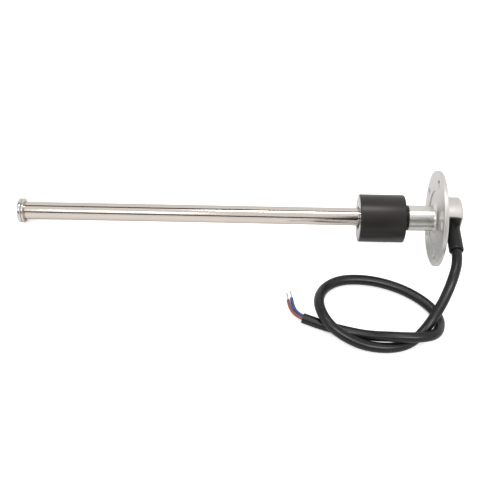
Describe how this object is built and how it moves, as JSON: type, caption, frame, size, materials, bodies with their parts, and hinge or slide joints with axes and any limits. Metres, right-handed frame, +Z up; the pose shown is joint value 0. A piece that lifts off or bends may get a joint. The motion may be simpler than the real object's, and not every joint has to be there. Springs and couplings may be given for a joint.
{
  "type": "fuel level sender",
  "caption": "Float-type fuel level sender: a magnet float slides on a steel stem under a round bolted flange, with a side cable outlet and a free cable.",
  "frame": {"origin": "on the surface that the sender lies on, under the middle of its box without the cable", "axes": "+X along the lying stem, from its tip towards the flange and cap; -Y is the side where the cable leaves the cap; +Z up from the surface. The stem rises 4.9 degrees towards +X, because the flange is wider than the end plug"},
  "size_m": [0.3188, 0.132, 0.0689],
  "materials": {
    "flange_steel": "turned stainless steel, satin",
    "stem_steel": "drawn stainless tube, satin",
    "cap_steel": "drawn stainless shell, satin",
    "float_foam": "closed-cell nitrile rubber, satin black",
    "magnet_ferrite": "sintered ferrite",
    "black_rubber": "moulded black rubber",
    "cable_black": "black cable sheath, satin",
    "core_brown": "brown core insulation",
    "core_blue": "blue core insulation",
    "tinned_copper": "tinned strands",
    "board_green": "circuit board with solder mask",
    "reed_glass": "sealed glass capsule",
    "resistor_black": "chip resistor",
    "potting_resin": "cast sealing resin"
  },
  "bodies": {
    "sender": {"mounting_flange": "flange_steel", "stem_tube": "stem_steel", "neck_sleeve": "stem_steel", "stop_collar": "black_rubber", "end_plug": "stem_steel", "stop_washer": "stem_steel", "cable_cap": "cap_steel", "cable_grommet": "black_rubber", "sensor_board": "board_green", "lead_brown": "core_brown", "lead_blue": "core_blue", "potting": "potting_resin", "cable_jacket": "cable_black", "core_brown": "core_brown", "core_blue": "core_blue", "tip_brown": "tinned_copper", "tip_blue": "tinned_copper", "reed_switch_01": "reed_glass", "reed_switch_02": "reed_glass", "reed_switch_03": "reed_glass", "reed_switch_04": "reed_glass", "reed_switch_05": "reed_glass", "reed_switch_06": "reed_glass", "reed_switch_07": "reed_glass", "reed_switch_08": "reed_glass", "reed_switch_09": "reed_glass", "reed_switch_10": "reed_glass", "reed_switch_11": "reed_glass", "reed_switch_12": "reed_glass", "reed_switch_13": "reed_glass", "resistor_01": "resistor_black", "resistor_02": "resistor_black", "resistor_03": "resistor_black", "resistor_04": "resistor_black", "resistor_05": "resistor_black", "resistor_06": "resistor_black", "resistor_07": "resistor_black", "resistor_08": "resistor_black", "resistor_09": "resistor_black", "resistor_10": "resistor_black", "resistor_11": "resistor_black", "resistor_12": "resistor_black"},
    "float": {"float_body": "float_foam", "float_magnet": "magnet_ferrite"}
  },
  "joints": [
    {"name": "float_slide", "type": "slide", "parent": "sender", "child": "float", "axis": [0.9964, 0, 0.0854], "range_m": [-0.2412, 0]}
  ]
}
